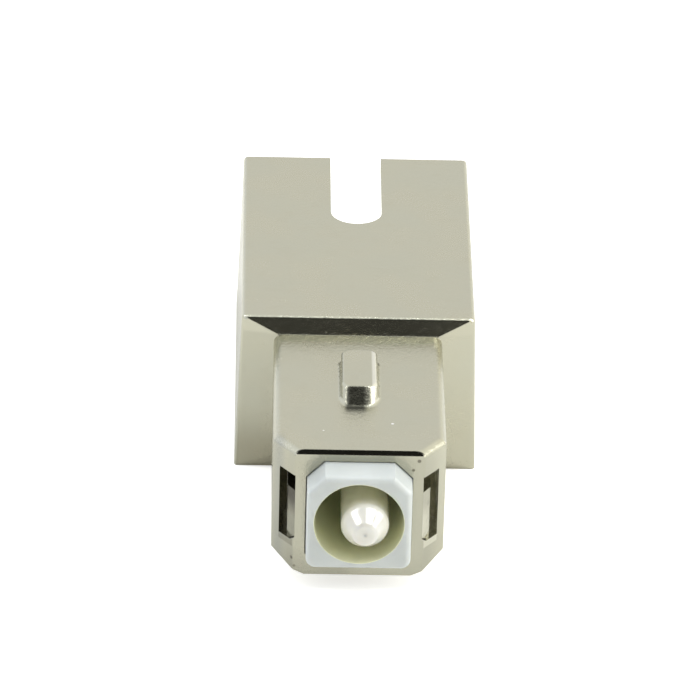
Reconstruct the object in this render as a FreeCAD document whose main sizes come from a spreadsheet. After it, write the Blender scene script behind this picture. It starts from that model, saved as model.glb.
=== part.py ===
import FreeCAD, Part
import os
import Sketcher

# Plug-in fibre optic attenuator: one die-cast housing with a square push-pull plug at the
# front and the matching socket at the back, a ferrule with a doped fibre running between them.
# Millimetres. +X right, +Y towards the socket, +Z up to the key and the keyway.
# The origin is the middle of the wide body's flat underside.

os.makedirs("parts", exist_ok=True)
doc = FreeCAD.newDocument("attenuator")

# Driving sizes: alias, value, meaning
SIZES = [
    ("body_length", 19.1, "wide socket body, shoulder included"),
    ("body_height", 9.2, "wide body, underside to top"),
    ("body_top_width", 12.45, "wide body across its top"),
    ("body_draft", 0.275, "wide body's underside past its top at each side"),
    ("body_edge_radius", 0.27, "rounding along the wide body's top edges and round the step"),
    ("shoulder_depth", 0.42, "bevelled step from the nose to the wide body, along the axis"),
    ("nose_length", 12.5, "plug nose, shoulder to metal front face"),
    ("nose_width", 8.99, "plug nose across its sides"),
    ("nose_height", 7.39, "plug nose, bottom to top without the key"),
    ("nose_edge_radius", 0.5, "rounding along the nose's top edges"),
    ("nose_low_chamfer", 1.7, "lower nose corners, chamfer across"),
    ("nose_low_chamfer_rise", 0.8, "lower nose corners, chamfer upwards"),
    ("nose_front_chamfer", 1.12, "front upright corners of the nose, chamfer across"),
    ("nose_front_chamfer_run", 1.5, "front upright corners of the nose, chamfer along the axis"),
    ("front_bevel_drop", 0.24, "bevel over the nose's top front edge, downwards"),
    ("front_bevel_run", 0.14, "bevel over the nose's top front edge, along the axis"),
    ("axis_rise", 4.0, "optical axis above the nose's bottom face"),
    ("key_width", 1.9, "raised key on the nose"),
    ("key_height", 0.8, "raised key above the nose's top"),
    ("key_length", 4.85, "raised key along the axis, at its foot"),
    ("key_front_run", 0.8, "run of the key's sloped front face"),
    ("key_setback", 4.75, "metal front face to the foot of the key"),
    ("key_radius", 0.2, "rounding along the key's top edges"),
    ("key_corner_radius", 0.5, "rounding of the key's upright corners"),
    ("key_foot_radius", 0.25, "hollow rounding round the key's foot"),
    ("keyway_width", 2.8, "slot over the socket for the mating plug's key"),
    ("keyway_length", 7.9, "slot length from the socket's mouth"),
    ("insert_chamfer", 0.92, "upper corners of the plug insert"),
    ("insert_low_radius", 0.5, "lower corners of the plug insert"),
    ("insert_edge_radius", 0.3, "rim of the plug insert's front face"),
    ("insert_reach", 1.66, "plug insert ahead of the metal front face"),
    ("insert_length", 9.0, "plug insert along the axis"),
    ("insert_side_wall", 0.38, "wall of the plug insert beside its round bore"),
    ("insert_back_wall", 1.5, "wall of the plug insert behind that bore"),
    ("insert_passage", 3.3, "hole for the ferrule in the insert's back wall"),
    ("insert_clearance", 0.05, "gap round the insert in its pocket"),
    ("pocket_wall", 0.6, "inner tube of the nose, between the plug insert and a latch channel"),
    ("channel_width", 0.805, "latch channel across"),
    ("channel_height", 3.93, "latch channel beside the inner tube"),
    ("channel_drop", 0.07, "middle of the latch channels below the optical axis"),
    ("channel_depth", 7.0, "latch channel from the metal front face"),
    ("side_wall", 0.37, "thin wall outside each latch channel"),
    ("channel_chamfer", 0.24, "lower inner corner of each latch channel, filled this far each way"),
    ("window_setback", 3.5, "metal front face to the side windows"),
    ("window_length", 2.4, "side window along the axis"),
    ("window_height", 3.0, "side window upwards"),
    ("ear_height", 0.38, "latch ear proud of the inner tube"),
    ("ear_width", 2.95, "latch ear upwards from the channel's floor"),
    ("ear_setback", 0.15, "metal front face to the start of the ear's ramp"),
    ("ear_ramp", 0.6, "ramp of the latch ear"),
    ("ear_length", 3.72, "latch ear along the axis, ramp included"),
    ("socket_clearance", 0.055, "gap at each side of a mating nose in the socket"),
    ("socket_depth", 14.4, "socket mouth to the latch holder's plate"),
    ("plate_thickness", 1.8, "plate of the latch holder"),
    ("plate_clearance", 0.03, "gap round that plate"),
    ("chamber_bore", 5.2, "round chamber for the ferrule flange and the holder's tube"),
    ("tube_outer", 4.5, "sleeve tube of the latch holder, outside"),
    ("tube_inner", 3.96, "sleeve tube of the latch holder, inside"),
    ("tube_lip", 0.4, "inward lip at the tube's open end, along the axis"),
    ("tube_lip_bore", 3.14, "hole through that lip"),
    ("arm_thickness", 0.42, "latch arm"),
    ("arm_height", 3.6, "latch arm upwards"),
    ("arm_reach", 8.7, "latch arm from the plate to its tip"),
    ("arm_gap", 0.1, "gap between a latch arm and the wall of the mating channel"),
    ("hook_height", 0.34, "latch hook, inwards from its arm"),
    ("hook_length", 1.3, "latch hook along the axis"),
    ("ferrule_diameter", 2.499, "zirconia ferrule"),
    ("ferrule_rim_length", 0.15, "full diameter of the ferrule ahead of the insert's face"),
    ("ferrule_tip_depth", 13.9, "socket mouth to the ferrule's rear tip"),
    ("ferrule_cone", 1.0, "cone at each ferrule tip, along the axis"),
    ("ferrule_end", 1.2, "diameter of the polished ferrule ends"),
    ("ferrule_blend", 0.1, "bevel that blends each rim of the cones, this far each way"),
    ("ferrule_offset", 0.3, "floating ferrule settled this far to the right"),
    ("fibre_diameter", 0.125, "doped fibre"),
    ("flange_diameter", 4.4, "collar of the ferrule flange"),
    ("flange_collar", 1.6, "that collar along the axis"),
    ("flange_hub", 3.5, "hub of the ferrule flange"),
    ("flange_play", 0.2, "end play of the flange at each side"),
    ("sleeve_outer", 3.3, "split sleeve, outside"),
    ("sleeve_length", 11.4, "split sleeve"),
    ("sleeve_slit", 0.4, "slit of the split sleeve"),
    ("sleeve_clearance", 0.002, "split sleeve's bore over the ferrule diameter"),
]

sheet = doc.addObject("Spreadsheet::Sheet", "sizes")
for row, (alias, value, meaning) in enumerate(SIZES, start=1):
    sheet.set(f"A{row}", meaning)
    sheet.set(f"B{row}", str(value))
    sheet.setAlias(f"B{row}", alias)
doc.recompute()

# Places along Y
REAR = "sizes.body_length / 2"
SHOULDER = "(-sizes.body_length / 2)"
FRONT = f"({SHOULDER} - sizes.nose_length)"
INSERT_FACE = f"({FRONT} - sizes.insert_reach)"
INSERT_BACK = f"({INSERT_FACE} + sizes.insert_length)"
PLATE_FACE = f"({REAR} - sizes.socket_depth)"
PLATE_BACK = f"({PLATE_FACE} - sizes.plate_thickness)"
FERRULE_RIM = f"({INSERT_FACE} - sizes.ferrule_rim_length)"
FERRULE_REAR = f"({REAR} - sizes.ferrule_tip_depth)"
SLEEVE_BACK = f"({FERRULE_REAR} + sizes.sleeve_length / 2)"
SLEEVE_FRONT = f"({FERRULE_REAR} - sizes.sleeve_length / 2)"
TUBE_FRONT = f"({SLEEVE_FRONT} - sizes.flange_play)"
TUBE_BACK = f"({SLEEVE_BACK} + sizes.flange_play + sizes.tube_lip)"

# Heights along Z
NOSE_BASE = "((sizes.body_height - sizes.nose_height) / 2)"
NOSE_TOP = f"({NOSE_BASE} + sizes.nose_height)"
AXIS = f"({NOSE_BASE} + sizes.axis_rise)"
SOCKET_BASE = f"({NOSE_BASE} - sizes.socket_clearance)"
CHANNEL_BASE = f"({AXIS} - sizes.channel_drop - sizes.channel_height / 2)"
CHANNEL_TOP = f"({CHANNEL_BASE} + sizes.channel_height)"
ARM_BASE = f"({AXIS} - sizes.channel_drop - sizes.arm_height / 2)"

# Half widths along X
CHANNEL_OUTER = "(sizes.nose_width / 2 - sizes.side_wall)"
CHANNEL_INNER = f"({CHANNEL_OUTER} - sizes.channel_width)"
INSERT_SIDE = f"({CHANNEL_INNER} - sizes.pocket_wall)"

# Sections that other pieces fit in
SOCKET_WIDTH = "(sizes.nose_width + 2 * sizes.socket_clearance)"
SOCKET_HEIGHT = "(sizes.nose_height + 2 * sizes.socket_clearance)"

BEYOND = 1.0      # how far a cut runs past the surface that it opens
OVERLAP = 0.1     # how far a feature runs into what it joins
NEAR = 0.05       # tolerance when edges are picked by their place
STRAIGHT = 0.995  # cosine of the draft that still counts as along an axis
CUT_LEAST = 1e-6  # a cut that removes less than this volume has missed


def new_body(label):
    body = doc.addObject("PartDesign::Body", label)
    body.Label = label
    return body


def sketch_on(body, name, role, distance):
    """Sketch on one of the body's origin planes, moved along that plane's normal."""
    plane = next(item for item in body.Origin.OriginFeatures if item.Role == role)
    sketch = body.newObject("Sketcher::SketchObject", name)
    sketch.AttachmentSupport = [(plane, "")]
    sketch.MapMode = "FlatFace"
    sketch.setExpression("AttachmentOffset.Base.z", distance)
    return sketch


def across(body, name, place):
    """Sketch across the axis at a place along Y: its own axes are X and Z."""
    return sketch_on(body, name, "XZ_Plane", f"-({place})")


def flat(body, name, height):
    """Level sketch at a height: its own axes are X and Y."""
    return sketch_on(body, name, "XY_Plane", height)


def lengthwise(body, name, place):
    """Upright sketch along the axis at a place along X: its own axes are Y and Z."""
    return sketch_on(body, name, "YZ_Plane", place)


def on_axis(body, name, offset="0"):
    """Lengthwise sketch whose own origin lies on the optical axis."""
    sketch = lengthwise(body, name, offset)
    sketch.setExpression("AttachmentOffset.Base.y", AXIS)
    return sketch


def fix_point(sketch, line, end, corner):
    """Hold one end of a line or a circle's centre at a pair of expressions."""
    for direction, expression in zip(("DistanceX", "DistanceY"), corner):
        index = sketch.addConstraint(Sketcher.Constraint(direction, -1, 1, line, end, 1.0))
        sketch.setExpression(f"Constraints[{index}]", expression)


def outline(sketch, corners):
    """Closed outline through corners, each a pair of expressions in the sketch's own axes."""
    first = sketch.GeometryCount
    count = len(corners)
    turn = FreeCAD.Rotation(FreeCAD.Vector(0, 0, 1), 360.0 / count)
    spoke = FreeCAD.Vector(5, 0, 0)
    for _ in corners:
        following = turn.multVec(spoke)
        sketch.addGeometry(Part.LineSegment(spoke, following), False)
        spoke = following
    for step in range(count):
        line = first + step
        after = first + (step + 1) % count
        sketch.addConstraint(Sketcher.Constraint("Coincident", line, 2, after, 1))
    for step, corner in enumerate(corners):
        fix_point(sketch, first + step, 1, corner)
    return sketch


def rectangle(sketch, left, low, right, high):
    return outline(sketch, [(left, low), (right, low), (right, high), (left, high)])


def circle(sketch, centre, diameter):
    ring = Part.Circle(FreeCAD.Vector(1, 1, 0), FreeCAD.Vector(0, 0, 1), 2.0)
    index = sketch.addGeometry(ring, False)
    fix_point(sketch, index, 3, centre)
    size = sketch.addConstraint(Sketcher.Constraint("Diameter", index, 4.0))
    sketch.setExpression(f"Constraints[{size}]", diameter)
    return sketch


def extrude(body, kind, sketch, length, turned=False):
    """Pad or Pocket of a sketch; turned points it the other way along the sketch's normal."""
    feature = body.newObject(f"PartDesign::{kind}", f"{sketch.Name}_{kind.lower()}")
    feature.Profile = sketch
    feature.setExpression("Length", length)
    feature.Reversed = turned
    doc.recompute()
    return feature


def add_back(body, sketch, length):
    """Pad towards +Y from a sketch across the axis."""
    return extrude(body, "Pad", sketch, length, turned=True)


def cut(body, sketch, length, turned=False):
    """Pocket towards +Y from a sketch across the axis, and downwards from a level one."""
    before = body.Shape.Volume
    feature = extrude(body, "Pocket", sketch, length, turned)
    if body.Shape.Volume > before - CUT_LEAST:
        raise RuntimeError(f"{feature.Name} cut nothing")
    return feature


def revolve(body, sketch):
    """Turn a lengthwise sketch about its own first axis, the optical axis."""
    feature = body.newObject("PartDesign::Revolution", f"{sketch.Name}_turned")
    feature.Profile = sketch
    feature.ReferenceAxis = (sketch, ["H_Axis"])
    feature.Angle = 360
    doc.recompute()
    return feature


def size(alias):
    return float(sheet.get(alias))


def round_edges(body, name, radius, chosen):
    """Fillet the edges of the body's tip for which chosen(edge) holds."""
    tip = body.Tip
    names = [f"Edge{number}" for number, edge in enumerate(tip.Shape.Edges, start=1) if chosen(edge)]
    fillet = body.newObject("PartDesign::Fillet", name)
    fillet.Base = (tip, names)
    fillet.setExpression("Radius", radius)
    doc.recompute()
    return fillet


def runs_along(edge, direction):
    """Whether a straight edge runs along a unit direction, give or take the casting's draft."""
    if edge.Curve.TypeId != "Part::GeomLine":
        return False
    ends = [vertex.Point for vertex in edge.Vertexes]
    return abs((ends[1] - ends[0]).normalize().dot(direction)) > STRAIGHT


ALONG_X = FreeCAD.Vector(1, 0, 0)
ALONG_Y = FreeCAD.Vector(0, 1, 0)
ALONG_Z = FreeCAD.Vector(0, 0, 1)


def wide_section(sketch):
    """Section of the wide body: upright sides with draft, wider below."""
    top = "sizes.body_top_width / 2"
    base = f"({top} + sizes.body_draft)"
    return outline(sketch, [
        (f"-{base}", "0"), (base, "0"), (top, "sizes.body_height"), (f"-{top}", "sizes.body_height")])


def plug_section(sketch, width, height, base):
    """Outline of the plug or of its cavity, with the two lower corners chamfered."""
    half = f"{width} / 2"
    low = f"({half} - sizes.nose_low_chamfer)"
    rise = f"({base} + sizes.nose_low_chamfer_rise)"
    top = f"({base} + {height})"
    return outline(sketch, [
        (f"-{low}", base), (low, base), (half, rise), (half, top), (f"-{half}", top), (f"-{half}", rise)])


def insert_section(sketch, gap):
    """Plug insert's square section, upper corners chamfered, with a gap all round."""
    half = f"({INSERT_SIDE} + {gap})"
    corner = f"({half} - sizes.insert_chamfer)"
    return outline(sketch, [
        (f"-{half}", f"{AXIS} - {half}"), (half, f"{AXIS} - {half}"), (half, f"{AXIS} + {corner}"),
        (corner, f"{AXIS} + {half}"), (f"-{corner}", f"{AXIS} + {half}"),
        (f"-{half}", f"{AXIS} + {corner}")])


def make_shoulder(body):
    """Bevelled step, lofted from the nose's section to the wide body's.

    Its front section leans in by the wide body's draft, so that every side of the step is flat.
    """
    low = "(sizes.nose_width / 2)"
    high = f"({low} - sizes.body_draft * sizes.nose_height / sizes.body_height)"
    small = outline(across(body, "shoulder_small", SHOULDER), [
        (f"-{low}", NOSE_BASE), (low, NOSE_BASE), (high, NOSE_TOP), (f"-{high}", NOSE_TOP)])
    large = wide_section(across(body, "shoulder_large", f"{SHOULDER} + sizes.shoulder_depth"))
    loft = body.newObject("PartDesign::AdditiveLoft", "shoulder_loft")
    loft.Profile = small
    loft.Sections = [large]
    loft.Ruled = True
    doc.recompute()


def make_key(body):
    """Raised key with a sloped front on top of the nose."""
    foot = f"({FRONT} + sizes.key_setback)"
    back = f"({foot} + sizes.key_length)"
    profile = outline(lengthwise(body, "key_side", "-sizes.key_width / 2"), [
        (foot, f"{NOSE_TOP} - {OVERLAP}"), (foot, NOSE_TOP),
        (f"{foot} + sizes.key_front_run", f"{NOSE_TOP} + sizes.key_height"),
        (back, f"{NOSE_TOP} + sizes.key_height"), (back, f"{NOSE_TOP} - {OVERLAP}")])
    extrude(body, "Pad", profile, "sizes.key_width")
    top = (size("body_height") + size("nose_height")) / 2
    front = -size("body_length") / 2 - size("nose_length") + size("key_setback") - NEAR
    rear = front + size("key_length") + 2 * NEAR

    def on_key(edge):
        box = edge.BoundBox
        above = box.ZMin > top - NEAR and box.XMax < size("key_width")
        return above and box.YMin > front and box.YMax < rear

    round_edges(body, "key_corners", "sizes.key_corner_radius",
                lambda edge: on_key(edge) and edge.BoundBox.ZLength > size("key_height") / 2)
    round_edges(body, "key_top", "sizes.key_radius",
                lambda edge: on_key(edge) and edge.BoundBox.ZMin > top + size("key_height") - NEAR)
    round_edges(body, "key_foot", "sizes.key_foot_radius",
                lambda edge: on_key(edge) and edge.BoundBox.ZMax < top + NEAR)


def make_front_corners(body):
    """Upright front corners of the nose, chamfered in plan."""
    half = "sizes.nose_width / 2"
    for side, sign in (("left", "-1"), ("right", "1")):
        wedge = outline(flat(body, f"front_corner_{side}", f"{NOSE_TOP} + {BEYOND}"), [
            (f"{sign} * ({half} - sizes.nose_front_chamfer)", FRONT),
            (f"{sign} * ({half} - sizes.nose_front_chamfer)", f"{FRONT} - {BEYOND}"),
            (f"{sign} * ({half} + {BEYOND})", f"{FRONT} - {BEYOND}"),
            (f"{sign} * ({half} + {BEYOND})", f"{FRONT} + sizes.nose_front_chamfer_run"),
            (f"{sign} * {half}", f"{FRONT} + sizes.nose_front_chamfer_run")])
        cut(body, wedge, f"sizes.nose_height + 2 * {BEYOND}")


def make_front_bevel(body):
    """Bevel over the nose's top front edge, between the chamfered corners."""
    half = "sizes.nose_width / 2"
    bevel = outline(lengthwise(body, "front_bevel", f"-{half} + sizes.nose_front_chamfer"), [
        (f"{FRONT} - {BEYOND}", f"{NOSE_TOP} - sizes.front_bevel_drop"),
        (FRONT, f"{NOSE_TOP} - sizes.front_bevel_drop"),
        (f"{FRONT} + sizes.front_bevel_run", NOSE_TOP),
        (f"{FRONT} + sizes.front_bevel_run", f"{NOSE_TOP} + {BEYOND}"),
        (f"{FRONT} - {BEYOND}", f"{NOSE_TOP} + {BEYOND}")])
    cut(body, bevel, "sizes.nose_width - 2 * sizes.nose_front_chamfer", turned=True)


def make_latch_channels(body):
    """Channels beside the inner tube for the mating latch arms, with side windows and ears."""
    channels = across(body, "latch_channels", FRONT)
    windows = across(body, "side_windows", f"{FRONT} + sizes.window_setback")
    middle = f"({AXIS} - sizes.channel_drop)"
    for sign in ("-1", "1"):
        outline(channels, [
            (f"{sign} * {CHANNEL_INNER}", f"{CHANNEL_BASE} + sizes.channel_chamfer"),
            (f"{sign} * ({CHANNEL_INNER} + sizes.channel_chamfer)", CHANNEL_BASE),
            (f"{sign} * {CHANNEL_OUTER}", CHANNEL_BASE), (f"{sign} * {CHANNEL_OUTER}", CHANNEL_TOP),
            (f"{sign} * {CHANNEL_INNER}", CHANNEL_TOP)])
        rectangle(windows, f"{sign} * ({CHANNEL_OUTER} - {OVERLAP})", f"{middle} - sizes.window_height / 2",
                  f"{sign} * (sizes.nose_width / 2 + {BEYOND})", f"{middle} + sizes.window_height / 2")
    cut(body, channels, "sizes.channel_depth")
    cut(body, windows, "sizes.window_length")
    start = f"({FRONT} + sizes.ear_setback)"
    root = f"({CHANNEL_INNER} - {OVERLAP})"
    crest = f"({CHANNEL_INNER} + sizes.ear_height)"
    for side, sign in (("left", "-1"), ("right", "1")):
        ear = outline(flat(body, f"ear_{side}", f"{CHANNEL_BASE} - {OVERLAP}"), [
            (f"{sign} * {root}", start),
            (f"{sign} * {CHANNEL_INNER}", start),
            (f"{sign} * {crest}", f"{start} + sizes.ear_ramp"),
            (f"{sign} * {crest}", f"{start} + sizes.ear_length"),
            (f"{sign} * {root}", f"{start} + sizes.ear_length")])
        extrude(body, "Pad", ear, f"sizes.ear_width + {OVERLAP}")


def make_keyway(body):
    """Round-ended slot through the socket's top wall, open at the mouth."""
    half = "sizes.keyway_width / 2"
    end = f"({REAR} - sizes.keyway_length + {half})"
    top = f"sizes.body_height + {BEYOND}"
    depth = f"sizes.body_height - {SOCKET_BASE} - {SOCKET_HEIGHT} + 2 * {BEYOND}"
    straight = rectangle(flat(body, "keyway", top), f"-{half}", end, half, f"{REAR} + {BEYOND}")
    cut(body, straight, depth)
    cut(body, circle(flat(body, "keyway_end", top), ("0", end), "sizes.keyway_width"), depth)


def make_housing():
    body = new_body("housing")
    nose = plug_section(across(body, "nose", FRONT), "sizes.nose_width", "sizes.nose_height", NOSE_BASE)
    add_back(body, nose, f"sizes.nose_length + {OVERLAP}")
    make_front_corners(body)
    nose_top = (size("body_height") + size("nose_height")) / 2
    round_edges(body, "nose_rounding", "sizes.nose_edge_radius",
                lambda edge: edge.CenterOfMass.z > nose_top - NEAR and not runs_along(edge, ALONG_X))
    make_front_bevel(body)
    wide = wide_section(across(body, "wide_body", f"{SHOULDER} + sizes.shoulder_depth"))
    add_back(body, wide, "sizes.body_length - sizes.shoulder_depth")
    make_shoulder(body)
    shoulder = -size("body_length") / 2
    step = shoulder + size("shoulder_depth")
    body_top = size("body_height")
    round_edges(body, "body_rounding", "sizes.body_edge_radius",
                lambda edge: edge.CenterOfMass.z > body_top - NEAR
                and (runs_along(edge, ALONG_Y) or abs(edge.CenterOfMass.y - step) < NEAR)
                or abs(edge.CenterOfMass.y - step) < NEAR and runs_along(edge, ALONG_Z))
    make_key(body)
    socket = plug_section(across(body, "socket", PLATE_BACK), SOCKET_WIDTH, SOCKET_HEIGHT, SOCKET_BASE)
    cut(body, socket, "sizes.socket_depth + sizes.plate_thickness")
    make_keyway(body)
    pocket = insert_section(across(body, "insert_pocket", FRONT), "sizes.insert_clearance")
    cut(body, pocket, "sizes.insert_length - sizes.insert_reach")
    chamber = circle(across(body, "flange_chamber", f"{INSERT_BACK} - {OVERLAP}"), ("0", AXIS),
                     "sizes.chamber_bore")
    cut(body, chamber, f"{PLATE_BACK} - {INSERT_BACK} + 2 * {OVERLAP}")
    make_latch_channels(body)
    return body


def make_plug_insert():
    """White frame round the ferrule, pressed into the nose from the front."""
    body = new_body("plug_insert")
    add_back(body, insert_section(across(body, "insert_block", INSERT_FACE), "0"), "sizes.insert_length")
    side = size("nose_width") / 2 - size("side_wall") - size("channel_width") - size("pocket_wall")
    axis_height = (size("body_height") - size("nose_height")) / 2 + size("axis_rise")
    round_edges(body, "insert_low_corners", "sizes.insert_low_radius",
                lambda edge: runs_along(edge, ALONG_Y) and edge.CenterOfMass.z < axis_height - side + NEAR)
    face = -size("body_length") / 2 - size("nose_length") - size("insert_reach")
    round_edges(body, "insert_rim", "sizes.insert_edge_radius",
                lambda edge: edge.BoundBox.YMax < face + NEAR)
    bore = circle(across(body, "insert_bore", INSERT_FACE), ("0", AXIS),
                  f"2 * ({INSERT_SIDE} - sizes.insert_side_wall)")
    cut(body, bore, "sizes.insert_length - sizes.insert_back_wall")
    passage = circle(across(body, "insert_passage", INSERT_FACE), ("0", AXIS), "sizes.insert_passage")
    cut(body, passage, f"sizes.insert_length + {BEYOND}")
    return body


def make_ferrule():
    """Zirconia cylinder with a cone at each polished end and the fibre's hole."""
    body = new_body("ferrule")
    radius = "sizes.ferrule_diameter / 2"
    end = "sizes.ferrule_end / 2"
    hole = "sizes.fibre_diameter / 2"
    tip = f"({FERRULE_RIM} - sizes.ferrule_cone)"
    rear_rim = f"({FERRULE_REAR} - sizes.ferrule_cone)"
    blend = "sizes.ferrule_blend"
    fall = f"{blend} * ({radius} - {end}) / sizes.ferrule_cone"
    profile = outline(on_axis(body, "ferrule_side", "sizes.ferrule_offset"), [
        (tip, hole), (tip, f"{end} - {blend}"), (f"{tip} + {blend}", f"{end} + {fall}"),
        (f"{FERRULE_RIM} - {blend}", f"{radius} - {fall}"), (f"{FERRULE_RIM} + {blend}", radius),
        (f"{rear_rim} - {blend}", radius), (f"{rear_rim} + {blend}", f"{radius} - {fall}"),
        (f"{FERRULE_REAR} - {blend}", f"{end} + {fall}"), (FERRULE_REAR, f"{end} - {blend}"),
        (FERRULE_REAR, hole)])
    revolve(body, profile)
    return body


def make_doped_fibre():
    """Attenuating fibre through the whole ferrule."""
    body = new_body("doped_fibre")
    radius = "sizes.fibre_diameter / 2"
    front = f"{FERRULE_RIM} - sizes.ferrule_cone"
    side = on_axis(body, "fibre_side", "sizes.ferrule_offset")
    profile = rectangle(side, front, "0", FERRULE_REAR, radius)
    revolve(body, profile)
    return body


def make_ferrule_flange():
    """Turned ring pressed on the ferrule, held with end play between insert and holder."""
    body = new_body("ferrule_flange")
    front = f"({INSERT_BACK} + sizes.flange_play)"
    back = f"({TUBE_FRONT} - sizes.flange_play)"
    bore = "sizes.ferrule_diameter / 2"
    profile = outline(on_axis(body, "flange_side", "sizes.ferrule_offset"), [
        (front, bore), (front, "sizes.flange_diameter / 2"),
        (f"{front} + sizes.flange_collar", "sizes.flange_diameter / 2"),
        (f"{front} + sizes.flange_collar", "sizes.flange_hub / 2"), (back, "sizes.flange_hub / 2"),
        (back, bore)])
    revolve(body, profile)
    return body


def make_split_sleeve():
    """Slit zirconia tube that lines the ferrule up with the incoming one."""
    body = new_body("split_sleeve")
    bore = "(sizes.ferrule_diameter / 2 + sizes.sleeve_clearance / 2)"
    side = on_axis(body, "sleeve_side", "sizes.ferrule_offset")
    profile = rectangle(side, SLEEVE_FRONT, bore, SLEEVE_BACK, "sizes.sleeve_outer / 2")
    revolve(body, profile)
    half = "sizes.sleeve_slit / 2"
    slit = rectangle(flat(body, "sleeve_slit", f"{AXIS} + sizes.sleeve_outer"),
                     f"sizes.ferrule_offset - {half}", f"{SLEEVE_FRONT} - {BEYOND}",
                     f"sizes.ferrule_offset + {half}", f"{SLEEVE_BACK} + {BEYOND}")
    cut(body, slit, "sizes.sleeve_outer")
    return body


def make_latch_holder():
    """Plate with the sleeve's tube and two latch arms, one moulding seated in the socket."""
    body = new_body("latch_holder")
    width = f"({SOCKET_WIDTH} - 2 * sizes.plate_clearance)"
    height = f"({SOCKET_HEIGHT} - 2 * sizes.plate_clearance)"
    plate = plug_section(across(body, "plate", PLATE_BACK), width, height,
                         f"({SOCKET_BASE} + sizes.plate_clearance)")
    add_back(body, plate, "sizes.plate_thickness")
    tube = circle(across(body, "tube", TUBE_FRONT), ("0", AXIS), "sizes.tube_outer")
    add_back(body, tube, f"{TUBE_BACK} - {TUBE_FRONT}")
    bore = circle(across(body, "tube_bore", TUBE_FRONT), ("0", AXIS), "sizes.tube_inner")
    cut(body, bore, f"{TUBE_BACK} - {TUBE_FRONT} - sizes.tube_lip")
    mouth = circle(across(body, "tube_mouth", TUBE_FRONT), ("0", AXIS), "sizes.tube_lip_bore")
    cut(body, mouth, f"{TUBE_BACK} - {TUBE_FRONT} + {BEYOND}")
    outer = f"({CHANNEL_OUTER} - sizes.arm_gap)"
    inner = f"({outer} - sizes.arm_thickness)"
    hook = f"({inner} - sizes.hook_height)"
    tip = f"({PLATE_FACE} + sizes.arm_reach)"
    for side, sign in (("left", "-1"), ("right", "1")):
        arm = outline(flat(body, f"arm_{side}", ARM_BASE), [
            (f"{sign} * {inner}", f"{PLATE_FACE} - {OVERLAP}"),
            (f"{sign} * {outer}", f"{PLATE_FACE} - {OVERLAP}"),
            (f"{sign} * {outer}", tip), (f"{sign} * {inner}", tip),
            (f"{sign} * {hook}", f"{tip} - sizes.hook_length / 2"),
            (f"{sign} * {hook}", f"{tip} - sizes.hook_length"),
            (f"{sign} * {inner}", f"{tip} - sizes.hook_length")])
        extrude(body, "Pad", arm, "sizes.arm_height")
    return body


bodies = [
    make_housing(),
    make_plug_insert(),
    make_ferrule(),
    make_doped_fibre(),
    make_ferrule_flange(),
    make_split_sleeve(),
    make_latch_holder(),
]
doc.recompute()

failed = [item.Name for item in doc.Objects if {"Invalid", "Error"} & set(item.State)]
failed += [body.Label for body in bodies if body.Shape.isNull() or not body.Shape.isValid()]
if failed:
    raise RuntimeError("not built: " + ", ".join(failed))
for body in bodies:
    body.Shape.exportStep(f"parts/{body.Label}.step")
    box = body.Shape.BoundBox
    print(f"{body.Label}: {len(body.Shape.Solids)} solid, {body.Shape.Volume:.3f} mm3, "
          f"x {box.XMin:.2f} {box.XMax:.2f}, y {box.YMin:.2f} {box.YMax:.2f}, "
          f"z {box.ZMin:.2f} {box.ZMax:.2f}")
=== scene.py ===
import math

import bpy
from mathutils import Matrix, Vector


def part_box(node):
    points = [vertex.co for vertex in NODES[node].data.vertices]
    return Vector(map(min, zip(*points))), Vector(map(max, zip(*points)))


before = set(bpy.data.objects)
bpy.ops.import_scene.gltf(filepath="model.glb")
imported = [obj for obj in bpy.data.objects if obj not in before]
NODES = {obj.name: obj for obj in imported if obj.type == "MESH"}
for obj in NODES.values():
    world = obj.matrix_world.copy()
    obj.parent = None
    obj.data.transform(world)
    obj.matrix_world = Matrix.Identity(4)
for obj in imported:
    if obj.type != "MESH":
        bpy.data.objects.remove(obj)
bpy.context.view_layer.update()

# Looks of the plug-in fibre optic attenuator: satin nickel casting, white plastic insert and
# ceramic ferrule. Lengths are in metres, and the places that materials use are in millimetres.

MM = 0.001
housing_low, housing_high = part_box("housing")
insert_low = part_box("plug_insert")[0]

scene = bpy.context.scene
scene.view_settings.view_transform = "Standard"

# Camera: where the photograph was taken from, which sees TARGET, the middle of the metal front
# face, at TARGET_PIXEL
YAW = math.radians(1.38)
ELEVATION = math.radians(30.1)
ROLL = math.radians(1.68)
DISTANCE = 330 * MM
PIXELS_PER_MM = 19.27
IMAGE_SIZE = 700
TARGET_PIXEL = (358.7, 513.4)
SENSOR = 36.0
NEAREST, FARTHEST = 0.01, 5.0
TARGET = Vector((0, housing_low.y, housing_high.z / 2))

# Places on the casting in millimetres. Along the axis: metal front face, shoulder between the
# nose and the wide body, back of the shoulder's bevel, and the raised key's foot, crest and back
FRONT = housing_low.y / MM
SHOULDER = -housing_high.y / MM
BEVEL_BACK = SHOULDER + 0.42
KEY_FOOT = FRONT + 4.75
KEY_CREST = KEY_FOOT + 0.8
KEY_BACK = KEY_FOOT + 4.85
# Upwards: the nose's top face, the optical axis, and the shaded part of the latch channels
NOSE_TOP = housing_high.z / MM - 0.9
AXIS_HEIGHT = 4.905
CHANNEL_LOW, CHANNEL_HIGH = 2.55, 6.65
# Sideways: front face, side of the key, walls of a latch channel, end of the shoulder's bevel
# and its lean, left wall of the wide body, and radius of the insert's bore
FRONT_SIDE = 3.4
KEY_SIDE = 0.95
CHANNEL_INNER, CHANNEL_OUTER = 3.31, 4.13
BEVEL_END = 4.5
BEVEL_LEAN = 1.9
LEFT_WALL = -6.22
BORE_RADIUS = 2.34
# Where a change from the middle to one side, or across the middle, starts and ends
LEFT_HALF = (0.0, -1.0)
RIGHT_HALF = (0.0, 1.0)
LEFT_TO_RIGHT = (-1.0, 1.0)

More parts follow.
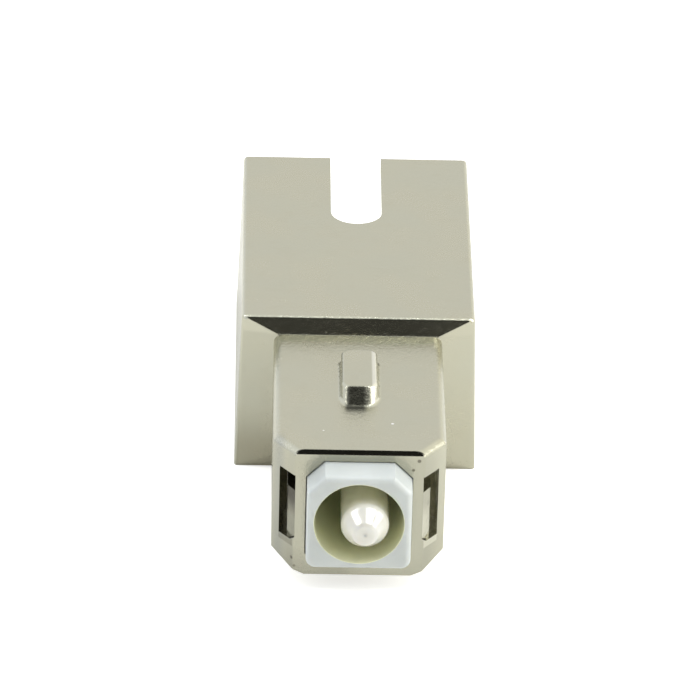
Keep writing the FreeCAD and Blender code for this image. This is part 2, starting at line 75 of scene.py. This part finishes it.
# Colours are linear values, apart from those that linear() makes from 8-bit screen values
NICKEL = (0.519, 0.503, 0.398, 1.0)
CLOUDED_NICKEL = (0.507, 0.499, 0.402, 1.0)
STAINED_NICKEL = (0.491, 0.472, 0.367, 1.0)
# Painted highlight along the key's right edge
PAINTED_HIGHLIGHT = (0.78, 0.765, 0.67, 1.0)
# Painted light low in the right latch channel
PAINTED_CHANNEL_LIGHT = (0.7, 0.69, 0.58, 1.0)
# Painted shade on the shoulder's bevel
PAINTED_BEVEL_SHADE = (0.03, 0.032, 0.026, 1.0)
# Painted shade on the shoulder's side facets, more on the left
PAINTED_FACET_SHADE = (0.1, 0.1, 0.08, 1.0)
# Painted brown shade low on the left side facet
PAINTED_BROWN_SHADE = (0.2, 0.17, 0.1, 1.0)
FRONT_SHADE = (0.1, 0.1, 0.09, 1.0)
WALL_SHADE = (0.1, 0.1, 0.1, 1.0)
COOL_SHADE = (0.2, 0.22, 0.25, 1.0)
EDGE_SHADE = (0.02, 0.02, 0.016, 1.0)
KEY_SHADE = (0.02, 0.02, 0.014, 1.0)
CHANNEL_SHADE = (0.04, 0.035, 0.025, 1.0)

# Single marks on the casting, dark pits and then two painted glints on the nose's top: place and radius in
# millimetres, share of the tone, and the tone
MARKS_AND_GLINTS = (
    ((-3.5, FRONT + 0.05, 1.85), 0.16, 0.7, (0.05, 0.04, 0.03, 1.0)),
    ((-3.3, FRONT, 1.4), 0.1, 0.5, (0.08, 0.06, 0.04, 1.0)),
    ((3.06, FRONT, 7.77), 0.13, 0.7, (0.08, 0.07, 0.05, 1.0)),
    ((2.77, FRONT, 7.23), 0.11, 0.7, (0.07, 0.06, 0.04, 1.0)),
    # Painted glints on the nose's top
    ((1.7, FRONT + 2.98, NOSE_TOP), 0.1, 0.9, (0.98, 0.98, 0.95, 1.0)),
    ((-1.9, FRONT + 2.15, NOSE_TOP), 0.07, 0.6, (0.95, 0.95, 0.9, 1.0)),
)

# Most values of a noise lie in this range
NOISE_RANGE = (0.3, 0.7)

# Table: half its side, and its glow for the camera and in mirrored rays
TABLE_HALF = 3.0
TABLE_GLOW, TABLE_MIRRORED_GLOW = 0.6, 0.2

# Studio: its colours, where they start and are full along a ray's direction, what mirrored rays
# lose overhead and gain in strength, and the dark round patch in front of the plug, which is
# full inside DARK_CORE and gone at DARK_EDGE
SKY_MIDDLE = (0.78, 0.78, 0.77, 1.0)
SKY_LEFT = (0.86, 0.89, 0.95, 1.0)
SKY_RIGHT = (0.98, 0.97, 0.90, 1.0)
SKY_TOP = (0.96, 1.01, 1.05, 1.0)
SKY_DARK = (0.05, 0.05, 0.045, 1.0)
WHITE = (1.0, 1.0, 1.0, 1.0)
SIDE_START, SIDE_FULL = 0.2, 0.6
TOP_START, TOP_FULL = 0.72, 0.95
MIRRORED_TOP_LOSS = 0.5
MIRRORED_GAIN = 0.28
DARK_ELEVATION = math.radians(31)
DARK_EDGE = math.radians(42)
DARK_CORE = math.radians(29)

# Lamps: name, direction from LAMP_AIM at the insert's front face, size in metres, power in watts
LAMPS = (
    ("left_softbox", (-0.663, -0.052, 0.746), (0.045, 0.3), 0.32),
    ("right_softbox", (0.451, -0.083, 0.89), (0.055, 0.3), 0.42),
    ("right_window", (0.88, -0.15, 0.42), (0.2, 0.2), 0.5),
    ("front_fill", (0.1, -1.0, 0.08), (0.2, 0.05), 0.04),
)
LAMP_DISTANCE = 0.4
LAMP_AIM = Vector((0, insert_low.y, 5 * MM))


def make_camera():
    """The photograph's camera, turned until TARGET is at its pixel."""
    focal = PIXELS_PER_MM * DISTANCE / MM
    data = bpy.data.cameras.new("photo_camera")
    data.sensor_width = SENSOR
    data.lens = focal / IMAGE_SIZE * SENSOR
    data.clip_start = NEAREST
    data.clip_end = FARTHEST
    camera = bpy.data.objects.new("photo_camera", data)
    scene.collection.objects.link(camera)

    ahead = math.cos(ELEVATION)
    forward = Vector((math.sin(YAW) * ahead, math.cos(YAW) * ahead, -math.sin(ELEVATION)))
    level = Vector((math.cos(YAW), -math.sin(YAW), 0))
    upright = level.cross(forward)
    across = math.cos(ROLL) * level + math.sin(ROLL) * upright
    upward = math.cos(ROLL) * upright - math.sin(ROLL) * level

    middle = IMAGE_SIZE / 2
    target_x, target_y = TARGET_PIXEL
    sight = forward * focal + across * (middle - target_x) + upward * (target_y - middle)
    sight = sight.normalized()
    side = (across - sight * across.dot(sight)).normalized()
    turn = Matrix((side, side.cross(sight), -sight)).transposed().to_4x4()
    camera.matrix_world = Matrix.Translation(TARGET - DISTANCE * forward) @ turn
    scene.camera = camera


class Graph:
    """Small helper to write a material's or the world's nodes down as expressions."""

    def __init__(self, tree):
        self.tree = tree
        tree.nodes.clear()

    def node(self, kind, inputs=None, **settings):
        made = self.tree.nodes.new(kind)
        for name, value in settings.items():
            setattr(made, name, value)
        for name, value in (inputs or {}).items():
            self.put(made.inputs[name], value)
        return made

    def put(self, socket, value):
        """A link where the value is another node's output, otherwise a constant."""
        if isinstance(value, bpy.types.NodeSocket):
            self.tree.links.new(value, socket)
        else:
            socket.default_value = value

    def math(self, operation, *values):
        made = self.node("ShaderNodeMath", operation=operation)
        for socket, value in zip(made.inputs, values):
            self.put(socket, value)
        return made.outputs[0]

    def times(self, first, *others):
        """The product of values, which for masks is where all of them hold."""
        for other in others:
            first = self.math("MULTIPLY", first, other)
        return first

    def mix_colours(self, share, first, second):
        """first and second mixed by share, through the mix node's sockets for colours."""
        made = self.node("ShaderNodeMix", data_type="RGBA")
        self.put(made.inputs[0], share)
        self.put(made.inputs[6], first)
        self.put(made.inputs[7], second)
        return made.outputs[2]

    def mix_values(self, share, first, second):
        """first and second mixed by share, through the mix node's sockets for numbers."""
        made = self.node("ShaderNodeMix", data_type="FLOAT")
        self.put(made.inputs[0], share)
        self.put(made.inputs[2], first)
        self.put(made.inputs[3], second)
        return made.outputs[0]

    def ramp(self, value, start, end, start_out=0.0, end_out=1.0):
        """A smooth change from start_out at start to end_out at end, level beyond them."""
        made = self.node("ShaderNodeMapRange", {
            "Value": value, "From Min": start, "From Max": end, "To Min": start_out,
            "To Max": end_out}, interpolation_type="SMOOTHSTEP")
        return made.outputs[0]

    def band(self, value, low, low_full, high_full, high):
        """1 from low_full to high_full, falling to 0 at low and at high."""
        return self.times(self.ramp(value, low, low_full), self.ramp(value, high, high_full))

    def noise(self, place, scale, detail=2.0, roughness=0.5):
        """Soft clouds from 0 to 1, about scale of them along each unit of place."""
        made = self.node("ShaderNodeTexNoise", {
            "Vector": place, "Scale": scale, "Detail": detail, "Roughness": roughness})
        return made.outputs["Fac"]

    def place(self, stretch=(1000.0, 1000.0, 1000.0), offset=(0.0, 0.0, 0.0)):
        """The point on the object, in millimetres of the row frame unless it is stretched."""
        point = self.node("ShaderNodeTexCoord").outputs["Object"]
        mapped = self.node("ShaderNodeMapping", {"Vector": point, "Scale": stretch, "Location": offset})
        return mapped.outputs["Vector"]

    def split(self, vector):
        parts = self.node("ShaderNodeSeparateXYZ", {"Vector": vector}).outputs
        return parts["X"], parts["Y"], parts["Z"]

    def near(self, place, centre, radius):
        """1 within half a radius of a point, falling to 0 at the radius."""
        made = self.node("ShaderNodeVectorMath", operation="DISTANCE")
        self.put(made.inputs[0], place)
        self.put(made.inputs[1], centre)
        return self.ramp(made.outputs["Value"], radius, radius / 2)

    def rounded(self, radius, samples):
        """Normals that look as if the mesh had rounded edges."""
        return self.node("ShaderNodeBevel", {"Radius": radius}, samples=samples).outputs["Normal"]

    def bump(self, height, distance, strength, normal=None):
        made = self.node("ShaderNodeBump", {"Height": height, "Distance": distance, "Strength": strength})
        if normal is not None:
            self.put(made.inputs["Normal"], normal)
        return made.outputs["Normal"]

    def rays(self):
        """Two masks: rays from the camera, and rays that a surface mirrors or lets through."""
        seen = self.node("ShaderNodeLightPath").outputs
        mirrored = self.math("MAXIMUM", seen["Is Glossy Ray"], seen["Is Transmission Ray"])
        return seen["Is Camera Ray"], mirrored

    def surface(self, inputs):
        shader = self.node("ShaderNodeBsdfPrincipled", inputs)
        output = self.node("ShaderNodeOutputMaterial")
        self.tree.links.new(shader.outputs[0], output.inputs["Surface"])


def new_material(name):
    material = bpy.data.materials.new(name)
    material.use_nodes = True
    return material, Graph(material.node_tree)


def linear(red, green, blue):
    """Colour from 8-bit screen values to the linear values that shaders take."""
    values = [channel / 255 for channel in (red, green, blue)]
    return tuple(v / 12.92 if v <= 0.04045 else ((v + 0.055) / 1.055) ** 2.4 for v in values) + (1.0,)


def on_shoulder_bevel(g, y, z):
    """1 on the bevel between the nose's top and the wide body's top."""
    along = g.band(y, SHOULDER - 0.05, SHOULDER + 0.05, BEVEL_BACK - 0.03, BEVEL_BACK + 0.05)
    return g.times(along, g.ramp(z, NOSE_TOP - 0.1, NOSE_TOP + 0.1))


def in_latch_channel(g, x, y, z):
    """1 behind the mouth of either latch channel."""
    across = g.band(g.math("ABSOLUTE", x), CHANNEL_INNER - 0.01, CHANNEL_INNER,
                    CHANNEL_OUTER, CHANNEL_OUTER + 0.01)
    upwards = g.band(z, CHANNEL_LOW - 0.05, CHANNEL_LOW, CHANNEL_HIGH, CHANNEL_HIGH + 0.05)
    return g.times(across, g.ramp(y, FRONT + 0.01, FRONT + 0.1), upwards)


# Each function of tints gives a list of masks, each with the share of a tone that it lays on


def shoulder_tints(g, x, y, z, on_bevel):
    """Painted shade on the bevel over the nose and on the facets beside it, more to the left, with painted
    brown shade at the lower left.
    """
    rise = g.math("SUBTRACT", z, NOSE_TOP)
    spread = g.math("SUBTRACT", g.math("ABSOLUTE", x), g.times(rise, BEVEL_LEAN))
    # Painted shade on the shoulder's bevel
    bevel_shade = g.times(on_bevel, g.ramp(spread, BEVEL_END + 0.1, BEVEL_END - 0.1))
    along = g.band(y, SHOULDER - 0.15, SHOULDER - 0.05, BEVEL_BACK - 0.01, BEVEL_BACK + 0.03)
    # Painted shade on the side facets, more on the left
    on_facet = g.times(along, g.ramp(z, NOSE_TOP + 0.1, NOSE_TOP - 0.1))
    # Painted brown shade low on the left facet
    brown_shade = g.times(on_facet, g.ramp(z, 4.0, 1.0), g.ramp(x, *LEFT_HALF))
    return [
        (bevel_shade, 0.08, PAINTED_BEVEL_SHADE),
        (on_facet, g.ramp(x, *LEFT_TO_RIGHT, 0.12, 0.03), PAINTED_FACET_SHADE),
        (brown_shade, 0.4, PAINTED_BROWN_SHADE),
    ]


def nose_tints(g, x, y, z):
    """Shade on the nose's front, more at its lower left, on its left side and over its top edge."""
    in_front = g.times(g.ramp(y, FRONT + 1.45, FRONT + 0.05), g.ramp(z, NOSE_TOP - 0.1, NOSE_TOP - 0.4))
    low_left = g.times(in_front, g.ramp(z, 3.2, 1.2), g.ramp(x, *LEFT_HALF))
    left_side = g.times(g.ramp(x, -FRONT_SIDE - 0.3, -FRONT_SIDE - 0.8),
                        g.ramp(y, FRONT + 2.05, FRONT + 1.05))
    top_edge = g.times(g.ramp(y, FRONT + 0.17, FRONT + 0.12),
                       g.ramp(z, NOSE_TOP - 0.26, NOSE_TOP - 0.2),
                       g.band(x, -FRONT_SIDE, 0.2 - FRONT_SIDE, FRONT_SIDE - 0.2, FRONT_SIDE))
    return [
        (in_front, 0.2, FRONT_SHADE),
        (low_left, 0.2, FRONT_SHADE),
        (left_side, 0.35, COOL_SHADE),
        (top_edge, 0.85, EDGE_SHADE),
    ]


def wall_tints(g, x):
    """A little shade on the wide body's left wall."""
    return [(g.ramp(x, LEFT_WALL, LEFT_WALL - 0.08), 0.13, WALL_SHADE)]


def key_tints(g, x, y, z):
    """Painted shade on the key's front and on the nose just ahead of it, and a painted highlight along its
    right edge.
    """
    front = g.times(g.band(y, KEY_FOOT - 0.8, KEY_FOOT, KEY_CREST - 0.05, KEY_CREST + 0.05),
                    g.band(x, -KEY_SIDE + 0.1, -KEY_SIDE + 0.35, 0.15, 0.5),
                    g.ramp(z, NOSE_TOP - 0.1, NOSE_TOP - 0.05))
    # Painted highlight along the key's right edge
    edge = g.times(g.band(y, KEY_FOOT, KEY_CREST - 0.1, KEY_BACK - 0.15, KEY_BACK - 0.05),
                   g.band(x, KEY_SIDE - 0.35, KEY_SIDE - 0.23, KEY_SIDE + 0.05, KEY_SIDE + 0.2),
                   g.ramp(z, NOSE_TOP + 0.02, NOSE_TOP + 0.1))
    return [
        (front, 0.86, KEY_SHADE),
        (edge, 0.9, PAINTED_HIGHLIGHT),
    ]


def channel_tints(g, x, z, in_channel):
    """Painted shade in the left latch channel, most of all upwards. Painted light in the right one lower
    down.
    """
    dark = g.times(in_channel, g.ramp(z, 4.0, 5.4, 0.35, 1.0))
    # Painted light low in the right latch channel
    pale = g.times(in_channel, g.ramp(x, *RIGHT_HALF), g.ramp(z, 5.2, 4.0))
    return [
        (dark, g.ramp(x, *LEFT_TO_RIGHT, 0.88, 0.0), CHANNEL_SHADE),
        (pale, 0.6, PAINTED_CHANNEL_LIGHT),
    ]


def mark_and_glint_tints(g, place):
    """The single pits and painted glints, as tints like the others: a mask, a share and a tone."""
    return [(g.near(place, centre, radius), share, tone) for centre, radius, share, tone in MARKS_AND_GLINTS]


def casting_material():
    """Satin nickel over a die casting: the grain shows where it faces something dark."""
    material, g = new_material("satin_nickel")
    place = g.place()
    x, y, z = g.split(place)
    on_bevel = on_shoulder_bevel(g, y, z)
    in_channel = in_latch_channel(g, x, y, z)

    cloud = g.noise(place, scale=0.35, detail=3.0)
    stain = g.noise(g.place(offset=(7.0, 3.0, 1.0)), scale=0.8, detail=4.0, roughness=0.6)
    colour = g.mix_colours(g.ramp(cloud, *NOISE_RANGE), NICKEL, CLOUDED_NICKEL)
    colour = g.mix_colours(g.ramp(stain, 0.5, 0.75, 0.0, 0.35), colour, STAINED_NICKEL)
    tints = (shoulder_tints(g, x, y, z, on_bevel) + nose_tints(g, x, y, z) + wall_tints(g, x)
             + key_tints(g, x, y, z) + channel_tints(g, x, z, in_channel) + mark_and_glint_tints(g, place))
    for mask, share, tone in tints:
        colour = g.mix_colours(g.times(mask, share), colour, tone)

    grain = g.noise(place, scale=4.5, detail=4.0, roughness=0.62)
    coarse = g.noise(g.place(offset=(3.0, 5.0, 2.0)), scale=3.2)
    fine = g.noise(place, scale=16.0, roughness=0.6)
    rough = g.math("ADD", g.ramp(fine, *NOISE_RANGE, 0.03, -0.03), g.ramp(cloud, *NOISE_RANGE, 0.26, 0.22))
    rough = g.math("SUBTRACT", rough, g.times(on_bevel, 0.06))
    rugged = g.math("MAXIMUM", on_bevel, in_channel)
    height = g.math("ADD", g.mix_values(rugged, grain, g.times(coarse, 1.5)), g.times(fine, 0.25))
    edges = g.rounded(radius=0.04 * MM, samples=4)
    normal = g.bump(height, distance=0.03 * MM, strength=0.55, normal=edges)
    g.surface({"Base Color": colour, "Metallic": 1.0, "Roughness": rough, "Normal": normal})
    return material


def in_bore(g):
    """1 on the wall of the plug insert's round bore, 0 elsewhere."""
    x, y, z = g.split(g.place())
    rise = g.math("SUBTRACT", z, AXIS_HEIGHT)
    radius = g.math("SQRT", g.math("ADD", g.math("POWER", x, 2.0), g.math("POWER", rise, 2.0)))
    return g.ramp(radius, BORE_RADIUS + 0.03, BORE_RADIUS + 0.01)


def plastic_material(name, base, roughness, scatter, offset, painted_bore_light=None):
    """Moulded plastic with a little light passing under its skin and a faint orange peel, and painted warm
    light on its bore wall when one is given.
    """
    material, g = new_material(name)
    place = g.place(offset=offset)
    darker = tuple(channel * 0.93 for channel in base[:3]) + (1.0,)
    cloud = g.noise(place, scale=0.6, detail=3.0)
    peel = g.noise(place, scale=5.0)
    wear = g.noise(place, scale=2.5)
    colour = g.mix_colours(g.ramp(cloud, 0.35, 0.75), base, darker)
    # Painted warm light on the wall of the bore
    if painted_bore_light:
        colour = g.mix_colours(in_bore(g), colour, painted_bore_light)
    g.surface({
        "Base Color": colour, "Normal": g.bump(peel, distance=0.01 * MM, strength=0.3),
        "Roughness": g.ramp(wear, *NOISE_RANGE, roughness - 0.05, roughness + 0.08),
        "Subsurface Weight": scatter, "Subsurface Radius": (1.1 * MM, 1.0 * MM, 0.8 * MM),
        "Subsurface Scale": 1.0})
    return material


def ceramic_material():
    """Ground and polished zirconia: dense, faintly warm white with a hard gloss."""
    material, g = new_material("zirconia")
    cloud = g.noise(g.place(), scale=0.8)
    rings = g.noise(g.place(stretch=(400.0, 30000.0, 400.0)), scale=1.0)
    edges = g.rounded(radius=0.16 * MM, samples=8)
    colour = g.mix_colours(g.ramp(cloud, 0.35, 0.7), linear(228, 226, 218), linear(221, 218, 208))
    g.surface({
        "Base Color": colour, "Roughness": g.ramp(rings, *NOISE_RANGE, 0.06, 0.1), "IOR": 1.9,
        "Normal": g.bump(rings, distance=0.0015 * MM, strength=0.3, normal=edges),
        "Subsurface Weight": 0.7, "Subsurface Radius": (2.2 * MM, 2.0 * MM, 1.6 * MM),
        "Subsurface Scale": 1.0})
    return material


def fibre_material():
    """The polished end of the fibre, a little darker than the ceramic round it."""
    material, g = new_material("silica")
    cloud = g.noise(g.place(), scale=30.0, detail=1.0)
    tint = g.mix_colours(cloud, linear(206, 208, 204), linear(190, 192, 188))
    g.surface({"Base Color": tint, "Roughness": 0.08})
    return material


def flange_material():
    """Turned metal with fine rings round the axis."""
    material, g = new_material("turned_metal")
    rings = g.noise(g.place(stretch=(500.0, 12000.0, 500.0)), scale=1.0)
    colour = g.mix_colours(g.ramp(rings, *NOISE_RANGE), linear(196, 194, 186), linear(170, 168, 160))
    g.surface({
        "Base Color": colour, "Metallic": 1.0, "Roughness": g.ramp(rings, *NOISE_RANGE, 0.22, 0.34),
        "Normal": g.bump(rings, distance=0.004 * MM, strength=0.5)})
    return material


def dress(node, material):
    """One material for the whole of a CAD node."""
    for holder in NODES[node].material_slots:
        holder.material = material


def make_table():
    """Plain pale table, seamless out to the horizon."""
    mesh = bpy.data.meshes.new("table")
    corners = [(x * TABLE_HALF, y * TABLE_HALF, 0) for x, y in ((-1, -1), (1, -1), (1, 1), (-1, 1))]
    mesh.from_pydata(corners, [], [(0, 1, 2, 3)])
    table = bpy.data.objects.new("table", mesh)
    scene.collection.objects.link(table)
    material, g = new_material("table_white")
    cloud = g.noise(g.place(stretch=(40.0, 40.0, 40.0)), scale=1.0)
    paint = g.mix_colours(cloud, linear(243, 242, 238), linear(240, 239, 235))
    diffuse = g.node("ShaderNodeBsdfDiffuse", {"Color": paint})
    from_camera, mirrored = g.rays()
    strength = g.math("ADD", g.times(from_camera, TABLE_GLOW), g.times(mirrored, TABLE_MIRRORED_GLOW))
    glow = g.node("ShaderNodeEmission", {"Strength": strength})
    both = g.node("ShaderNodeAddShader")
    output = g.node("ShaderNodeOutputMaterial")
    g.tree.links.new(diffuse.outputs[0], both.inputs[0])
    g.tree.links.new(glow.outputs[0], both.inputs[1])
    g.tree.links.new(both.outputs[0], output.inputs["Surface"])
    mesh.materials.append(material)


def make_studio():
    """White studio, cooler on the left and warmer on the right, with the dark patch in front of
    the plug. The camera itself sees plain white."""
    world = bpy.data.worlds.new("studio")
    scene.world = world
    world.use_nodes = True
    g = Graph(world.node_tree)
    direction = g.node("ShaderNodeTexCoord").outputs["Generated"]
    x, y, z = g.split(direction)
    from_camera, mirrored = g.rays()

    sky = g.mix_colours(g.ramp(x, -SIDE_START, -SIDE_FULL), SKY_MIDDLE, SKY_LEFT)
    sky = g.mix_colours(g.ramp(x, SIDE_START, SIDE_FULL), sky, SKY_RIGHT)
    top_share = g.math("SUBTRACT", 1.0, g.times(mirrored, MIRRORED_TOP_LOSS))
    sky = g.mix_colours(g.times(g.ramp(z, TOP_START, TOP_FULL), top_share), sky, SKY_TOP)

    toward_patch = g.node("ShaderNodeVectorMath", operation="DOT_PRODUCT")
    g.put(toward_patch.inputs[0], direction)
    g.put(toward_patch.inputs[1], (0.0, -math.cos(DARK_ELEVATION), math.sin(DARK_ELEVATION)))
    dark = g.ramp(toward_patch.outputs["Value"], math.cos(DARK_EDGE), math.cos(DARK_CORE))
    colour = g.mix_colours(from_camera, g.mix_colours(dark, sky, SKY_DARK), WHITE)
    strength = g.math("ADD", 1.0, g.times(mirrored, MIRRORED_GAIN))
    background = g.node("ShaderNodeBackground", {"Color": colour, "Strength": strength})
    output = g.node("ShaderNodeOutputWorld")
    g.tree.links.new(background.outputs[0], output.inputs["Surface"])


def make_lamp(name, direction, size, power):
    """Rectangular softbox that faces LAMP_AIM from a direction."""
    data = bpy.data.lights.new(name, "AREA")
    data.shape = "RECTANGLE"
    data.size, data.size_y = size
    data.energy = power
    lamp = bpy.data.objects.new(name, data)
    scene.collection.objects.link(lamp)
    place = LAMP_AIM + Vector(direction).normalized() * LAMP_DISTANCE
    lamp.location = place
    lamp.rotation_euler = (LAMP_AIM - place).to_track_quat("-Z", "Y").to_euler()


make_camera()
ceramic = ceramic_material()
dress("housing", casting_material())
# The insert's bore gets painted warm light
dress("plug_insert", plastic_material("white_plastic", linear(213, 218, 216), 0.36, 0.25,
                                      (0.0, 0.0, 0.0), painted_bore_light=linear(248, 250, 212)))
dress("latch_holder", plastic_material("holder_plastic", linear(222, 222, 214), 0.42, 0.2,
                                       (11.0, 4.0, 2.0)))
dress("ferrule", ceramic)
dress("split_sleeve", ceramic)
dress("doped_fibre", fibre_material())
dress("ferrule_flange", flange_material())
make_table()
make_studio()
for name, direction, size, power in LAMPS:
    make_lamp(name, direction, size, power)
